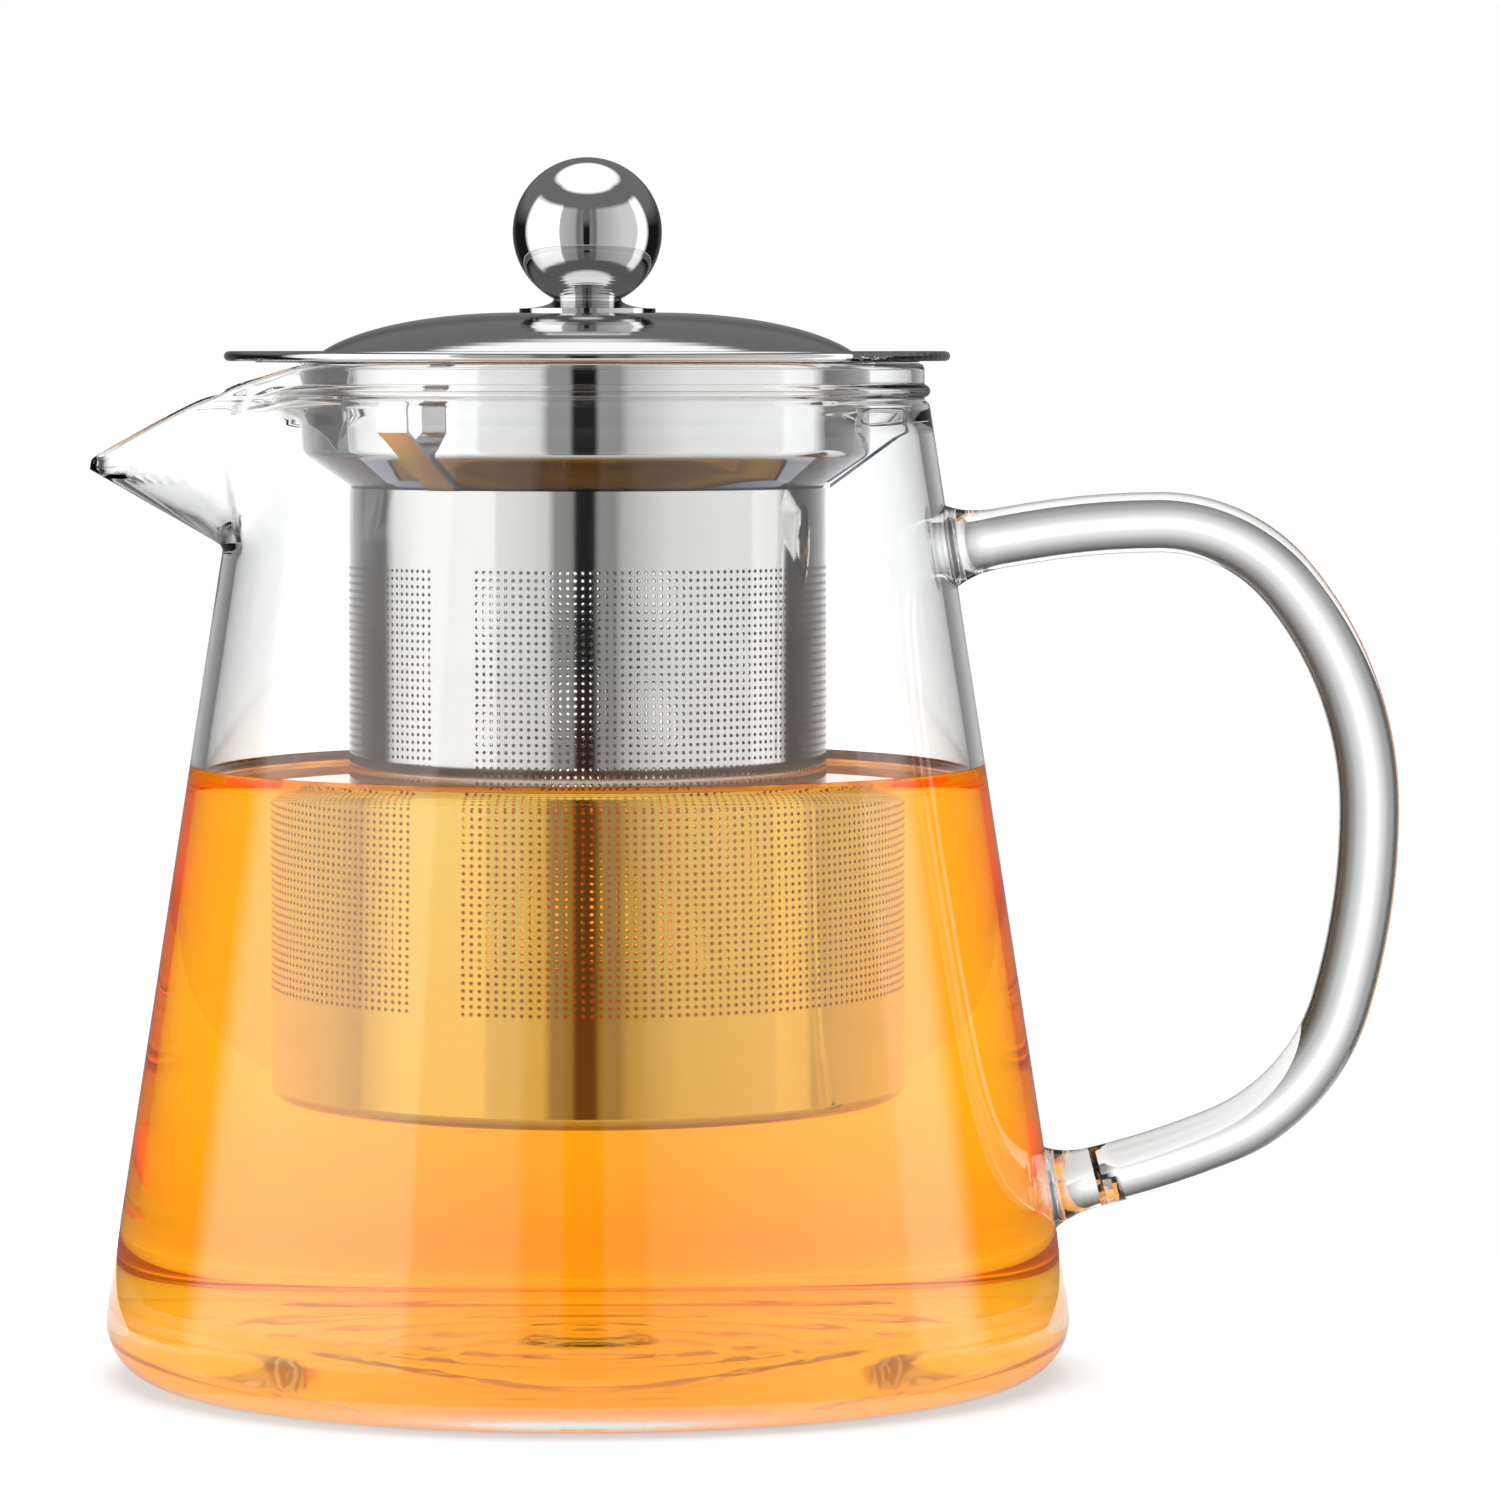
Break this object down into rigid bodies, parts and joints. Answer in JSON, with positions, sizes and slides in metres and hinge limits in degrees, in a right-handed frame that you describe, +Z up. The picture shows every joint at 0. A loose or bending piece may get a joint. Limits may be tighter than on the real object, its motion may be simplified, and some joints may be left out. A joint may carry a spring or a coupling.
{
  "type": "glass teapot",
  "caption": "Clear glass teapot with a pulled pouring lip, a rod handle, a lift-out perforated steel infuser hung from the rim and a domed steel lid with a ball knob.",
  "frame": {"origin": "centre of the flat base, on the surface the teapot stands on", "axes": "+Z up along the pot's axis, +X towards the handle, -X towards the pouring lip, -Y towards a right-handed user's view with the lip at the left"},
  "size_m": [0.1633, 0.1206, 0.1518],
  "materials": {
    "clear_glass": "clear blown borosilicate glass, fire-polished edges",
    "polished_steel": "mirror-polished stainless steel",
    "lid_steel": "finely satin-polished spun stainless steel",
    "infuser_steel": "satin stainless sheet, perforated with rows of fine holes",
    "hidden_steel": "plain zinc-bright steel fasteners",
    "tea": "clear golden-orange tea, liquid"
  },
  "bodies": {
    "pot": {"glass_body": "clear_glass", "glass_handle": "clear_glass"},
    "infuser": {"infuser_collar": "polished_steel", "infuser_tube": "infuser_steel", "infuser_base": "infuser_steel", "clip_right": "polished_steel", "clip_back_left": "polished_steel", "clip_front_left": "polished_steel"},
    "lid": {"lid_shell": "lid_steel", "lid_skirt": "lid_steel", "knob_foot": "polished_steel", "knob_ball": "polished_steel", "knob_screw": "hidden_steel", "knob_washer": "hidden_steel"}
  },
  "joints": [
    {"name": "infuser_lift", "type": "slide", "parent": "pot", "child": "infuser", "axis": [0, 0, 1], "range_m": [0, 0.11]},
    {"name": "lid_lift", "type": "slide", "parent": "infuser", "child": "lid", "axis": [0, 0, 1], "range_m": [0, 0.04]}
  ]
}
